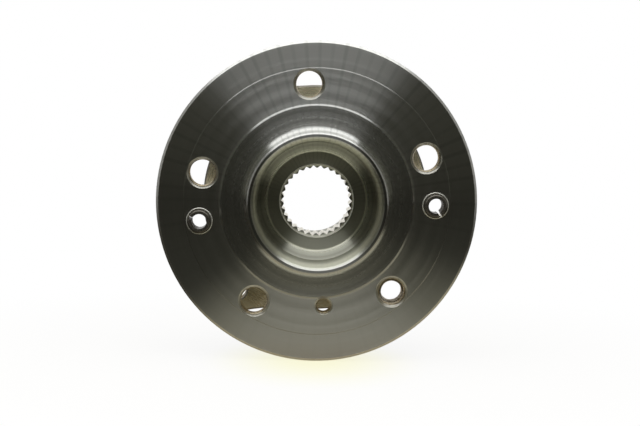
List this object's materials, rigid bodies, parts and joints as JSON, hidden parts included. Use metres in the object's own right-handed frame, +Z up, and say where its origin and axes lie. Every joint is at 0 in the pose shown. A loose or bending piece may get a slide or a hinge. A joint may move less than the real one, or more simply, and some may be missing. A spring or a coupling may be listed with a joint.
{
  "type": "wheel hub bearing",
  "caption": "Driven wheel hub unit: a flanged hub with spigot, tapped bolt holes and splined bore, turning on a double-row ball bearing with a bolt-on outer ring.",
  "frame": {"origin": "centre of the wheel mounting face, on the spin axis", "axes": "-Y outboard along the spin axis, towards the wheel; +X right and +Z up as seen from the wheel side"},
  "size_m": [0.153, 0.091, 0.153],
  "materials": {
    "hub_steel": "turned",
    "ring_steel": "forged, with turned seats",
    "bearing_steel": "ground",
    "ball_steel": "polished",
    "sleeve_steel": "phosphated spring steel",
    "seal_steel": "stamped",
    "cage_polyamide": "moulded",
    "seal_rubber": "matte",
    "encoder_rubber": "matte"
  },
  "bodies": {
    "bearing_outer": {"outer_ring": "ring_steel", "outboard_seal_core": "seal_steel", "outboard_seal_lip": "seal_rubber", "inboard_seal_core": "seal_steel", "inboard_seal_lip": "seal_rubber"},
    "hub": {"hub_flange": "hub_steel", "inner_ring": "bearing_steel", "locating_sleeve_left": "sleeve_steel", "locating_sleeve_right": "sleeve_steel", "inboard_slinger": "seal_steel", "encoder_ring": "encoder_rubber"},
    "outboard_cage_body": {"outboard_cage": "cage_polyamide"},
    "inboard_cage_body": {"inboard_cage": "cage_polyamide"},
    "outboard_ball_01_body": {"outboard_ball_01": "ball_steel"},
    "outboard_ball_02_body": {"outboard_ball_02": "ball_steel"},
    "outboard_ball_03_body": {"outboard_ball_03": "ball_steel"},
    "outboard_ball_04_body": {"outboard_ball_04": "ball_steel"},
    "outboard_ball_05_body": {"outboard_ball_05": "ball_steel"},
    "outboard_ball_06_body": {"outboard_ball_06": "ball_steel"},
    "outboard_ball_07_body": {"outboard_ball_07": "ball_steel"},
    "outboard_ball_08_body": {"outboard_ball_08": "ball_steel"},
    "outboard_ball_09_body": {"outboard_ball_09": "ball_steel"},
    "outboard_ball_10_body": {"outboard_ball_10": "ball_steel"},
    "outboard_ball_11_body": {"outboard_ball_11": "ball_steel"},
    "outboard_ball_12_body": {"outboard_ball_12": "ball_steel"},
    "outboard_ball_13_body": {"outboard_ball_13": "ball_steel"},
    "outboard_ball_14_body": {"outboard_ball_14": "ball_steel"},
    "inboard_ball_01_body": {"inboard_ball_01": "ball_steel"},
    "inboard_ball_02_body": {"inboard_ball_02": "ball_steel"},
    "inboard_ball_03_body": {"inboard_ball_03": "ball_steel"},
    "inboard_ball_04_body": {"inboard_ball_04": "ball_steel"},
    "inboard_ball_05_body": {"inboard_ball_05": "ball_steel"},
    "inboard_ball_06_body": {"inboard_ball_06": "ball_steel"},
    "inboard_ball_07_body": {"inboard_ball_07": "ball_steel"},
    "inboard_ball_08_body": {"inboard_ball_08": "ball_steel"},
    "inboard_ball_09_body": {"inboard_ball_09": "ball_steel"},
    "inboard_ball_10_body": {"inboard_ball_10": "ball_steel"},
    "inboard_ball_11_body": {"inboard_ball_11": "ball_steel"},
    "inboard_ball_12_body": {"inboard_ball_12": "ball_steel"},
    "inboard_ball_13_body": {"inboard_ball_13": "ball_steel"},
    "inboard_ball_14_body": {"inboard_ball_14": "ball_steel"}
  },
  "joints": [
    {"name": "hub_spin", "type": "hinge", "parent": "bearing_outer", "child": "hub", "pos_m": [0, 0, 0], "axis": [0, 1, 0], "continuous": true},
    {"name": "outboard_cage_spin", "type": "hinge", "parent": "bearing_outer", "child": "outboard_cage_body", "pos_m": [0, 0.0305, 0], "axis": [0, 1, 0], "continuous": true},
    {"name": "inboard_cage_spin", "type": "hinge", "parent": "bearing_outer", "child": "inboard_cage_body", "pos_m": [0, 0.0555, 0], "axis": [0, 1, 0], "continuous": true},
    {"name": "outboard_ball_01_spin", "type": "hinge", "parent": "outboard_cage_body", "child": "outboard_ball_01_body", "pos_m": [0.0333, 0.0305, 0.00375], "axis": [-0.6118, 0.788, -0.0689], "continuous": true},
    {"name": "outboard_ball_02_spin", "type": "hinge", "parent": "outboard_cage_body", "child": "outboard_ball_02_body", "pos_m": [0.02837, 0.0305, 0.01783], "axis": [-0.5213, 0.788, -0.3276], "continuous": true},
    {"name": "outboard_ball_03_spin", "type": "hinge", "parent": "outboard_cage_body", "child": "outboard_ball_03_body", "pos_m": [0.01783, 0.0305, 0.02837], "axis": [-0.3276, 0.788, -0.5213], "continuous": true},
    {"name": "outboard_ball_04_spin", "type": "hinge", "parent": "outboard_cage_body", "child": "outboard_ball_04_body", "pos_m": [0.00375, 0.0305, 0.0333], "axis": [-0.0689, 0.788, -0.6118], "continuous": true},
    {"name": "outboard_ball_05_spin", "type": "hinge", "parent": "outboard_cage_body", "child": "outboard_ball_05_body", "pos_m": [-0.01107, 0.0305, 0.03163], "axis": [0.2033, 0.788, -0.5811], "continuous": true},
    {"name": "outboard_ball_06_spin", "type": "hinge", "parent": "outboard_cage_body", "child": "outboard_ball_06_body", "pos_m": [-0.0237, 0.0305, 0.0237], "axis": [0.4353, 0.788, -0.4353], "continuous": true},
    {"name": "outboard_ball_07_spin", "type": "hinge", "parent": "outboard_cage_body", "child": "outboard_ball_07_body", "pos_m": [-0.03163, 0.0305, 0.01107], "axis": [0.5811, 0.788, -0.2033], "continuous": true},
    {"name": "outboard_ball_08_spin", "type": "hinge", "parent": "outboard_cage_body", "child": "outboard_ball_08_body", "pos_m": [-0.0333, 0.0305, -0.00375], "axis": [0.6118, 0.788, 0.0689], "continuous": true},
    {"name": "outboard_ball_09_spin", "type": "hinge", "parent": "outboard_cage_body", "child": "outboard_ball_09_body", "pos_m": [-0.02837, 0.0305, -0.01783], "axis": [0.5213, 0.788, 0.3276], "continuous": true},
    {"name": "outboard_ball_10_spin", "type": "hinge", "parent": "outboard_cage_body", "child": "outboard_ball_10_body", "pos_m": [-0.01783, 0.0305, -0.02837], "axis": [0.3276, 0.788, 0.5213], "continuous": true},
    {"name": "outboard_ball_11_spin", "type": "hinge", "parent": "outboard_cage_body", "child": "outboard_ball_11_body", "pos_m": [-0.00375, 0.0305, -0.0333], "axis": [0.0689, 0.788, 0.6118], "continuous": true},
    {"name": "outboard_ball_12_spin", "type": "hinge", "parent": "outboard_cage_body", "child": "outboard_ball_12_body", "pos_m": [0.01107, 0.0305, -0.03163], "axis": [-0.2033, 0.788, 0.5811], "continuous": true},
    {"name": "outboard_ball_13_spin", "type": "hinge", "parent": "outboard_cage_body", "child": "outboard_ball_13_body", "pos_m": [0.0237, 0.0305, -0.0237], "axis": [-0.4353, 0.788, 0.4353], "continuous": true},
    {"name": "outboard_ball_14_spin", "type": "hinge", "parent": "outboard_cage_body", "child": "outboard_ball_14_body", "pos_m": [0.03163, 0.0305, -0.01107], "axis": [-0.5811, 0.788, 0.2033], "continuous": true},
    {"name": "inboard_ball_01_spin", "type": "hinge", "parent": "inboard_cage_body", "child": "inboard_ball_01_body", "pos_m": [0.03163, 0.0555, 0.01107], "axis": [0.5811, 0.788, 0.2033], "continuous": true},
    {"name": "inboard_ball_02_spin", "type": "hinge", "parent": "inboard_cage_body", "child": "inboard_ball_02_body", "pos_m": [0.0237, 0.0555, 0.0237], "axis": [0.4353, 0.788, 0.4353], "continuous": true},
    {"name": "inboard_ball_03_spin", "type": "hinge", "parent": "inboard_cage_body", "child": "inboard_ball_03_body", "pos_m": [0.01107, 0.0555, 0.03163], "axis": [0.2033, 0.788, 0.5811], "continuous": true},
    {"name": "inboard_ball_04_spin", "type": "hinge", "parent": "inboard_cage_body", "child": "inboard_ball_04_body", "pos_m": [-0.00375, 0.0555, 0.0333], "axis": [-0.0689, 0.788, 0.6118], "continuous": true},
    {"name": "inboard_ball_05_spin", "type": "hinge", "parent": "inboard_cage_body", "child": "inboard_ball_05_body", "pos_m": [-0.01783, 0.0555, 0.02837], "axis": [-0.3276, 0.788, 0.5213], "continuous": true},
    {"name": "inboard_ball_06_spin", "type": "hinge", "parent": "inboard_cage_body", "child": "inboard_ball_06_body", "pos_m": [-0.02837, 0.0555, 0.01783], "axis": [-0.5213, 0.788, 0.3276], "continuous": true},
    {"name": "inboard_ball_07_spin", "type": "hinge", "parent": "inboard_cage_body", "child": "inboard_ball_07_body", "pos_m": [-0.0333, 0.0555, 0.00375], "axis": [-0.6118, 0.788, 0.0689], "continuous": true},
    {"name": "inboard_ball_08_spin", "type": "hinge", "parent": "inboard_cage_body", "child": "inboard_ball_08_body", "pos_m": [-0.03163, 0.0555, -0.01107], "axis": [-0.5811, 0.788, -0.2033], "continuous": true},
    {"name": "inboard_ball_09_spin", "type": "hinge", "parent": "inboard_cage_body", "child": "inboard_ball_09_body", "pos_m": [-0.0237, 0.0555, -0.0237], "axis": [-0.4353, 0.788, -0.4353], "continuous": true},
    {"name": "inboard_ball_10_spin", "type": "hinge", "parent": "inboard_cage_body", "child": "inboard_ball_10_body", "pos_m": [-0.01107, 0.0555, -0.03163], "axis": [-0.2033, 0.788, -0.5811], "continuous": true},
    {"name": "inboard_ball_11_spin", "type": "hinge", "parent": "inboard_cage_body", "child": "inboard_ball_11_body", "pos_m": [0.00375, 0.0555, -0.0333], "axis": [0.0689, 0.788, -0.6118], "continuous": true},
    {"name": "inboard_ball_12_spin", "type": "hinge", "parent": "inboard_cage_body", "child": "inboard_ball_12_body", "pos_m": [0.01783, 0.0555, -0.02837], "axis": [0.3276, 0.788, -0.5213], "continuous": true},
    {"name": "inboard_ball_13_spin", "type": "hinge", "parent": "inboard_cage_body", "child": "inboard_ball_13_body", "pos_m": [0.02837, 0.0555, -0.01783], "axis": [0.5213, 0.788, -0.3276], "continuous": true},
    {"name": "inboard_ball_14_spin", "type": "hinge", "parent": "inboard_cage_body", "child": "inboard_ball_14_body", "pos_m": [0.0333, 0.0555, -0.00375], "axis": [0.6118, 0.788, -0.0689], "continuous": true}
  ],
  "couplings": [
    {"joint": "outboard_cage_spin", "follows": "hub_spin", "ratio": 0.42534},
    {"joint": "inboard_cage_spin", "follows": "hub_spin", "ratio": 0.42534},
    {"joint": "outboard_ball_01_spin", "follows": "hub_spin", "ratio": -2.5797},
    {"joint": "outboard_ball_02_spin", "follows": "hub_spin", "ratio": -2.5797},
    {"joint": "outboard_ball_03_spin", "follows": "hub_spin", "ratio": -2.5797},
    {"joint": "outboard_ball_04_spin", "follows": "hub_spin", "ratio": -2.5797},
    {"joint": "outboard_ball_05_spin", "follows": "hub_spin", "ratio": -2.5797},
    {"joint": "outboard_ball_06_spin", "follows": "hub_spin", "ratio": -2.5797},
    {"joint": "outboard_ball_07_spin", "follows": "hub_spin", "ratio": -2.5797},
    {"joint": "outboard_ball_08_spin", "follows": "hub_spin", "ratio": -2.5797},
    {"joint": "outboard_ball_09_spin", "follows": "hub_spin", "ratio": -2.5797},
    {"joint": "outboard_ball_10_spin", "follows": "hub_spin", "ratio": -2.5797},
    {"joint": "outboard_ball_11_spin", "follows": "hub_spin", "ratio": -2.5797},
    {"joint": "outboard_ball_12_spin", "follows": "hub_spin", "ratio": -2.5797},
    {"joint": "outboard_ball_13_spin", "follows": "hub_spin", "ratio": -2.5797},
    {"joint": "outboard_ball_14_spin", "follows": "hub_spin", "ratio": -2.5797},
    {"joint": "inboard_ball_01_spin", "follows": "hub_spin", "ratio": -2.5797},
    {"joint": "inboard_ball_02_spin", "follows": "hub_spin", "ratio": -2.5797},
    {"joint": "inboard_ball_03_spin", "follows": "hub_spin", "ratio": -2.5797},
    {"joint": "inboard_ball_04_spin", "follows": "hub_spin", "ratio": -2.5797},
    {"joint": "inboard_ball_05_spin", "follows": "hub_spin", "ratio": -2.5797},
    {"joint": "inboard_ball_06_spin", "follows": "hub_spin", "ratio": -2.5797},
    {"joint": "inboard_ball_07_spin", "follows": "hub_spin", "ratio": -2.5797},
    {"joint": "inboard_ball_08_spin", "follows": "hub_spin", "ratio": -2.5797},
    {"joint": "inboard_ball_09_spin", "follows": "hub_spin", "ratio": -2.5797},
    {"joint": "inboard_ball_10_spin", "follows": "hub_spin", "ratio": -2.5797},
    {"joint": "inboard_ball_11_spin", "follows": "hub_spin", "ratio": -2.5797},
    {"joint": "inboard_ball_12_spin", "follows": "hub_spin", "ratio": -2.5797},
    {"joint": "inboard_ball_13_spin", "follows": "hub_spin", "ratio": -2.5797},
    {"joint": "inboard_ball_14_spin", "follows": "hub_spin", "ratio": -2.5797}
  ]
}
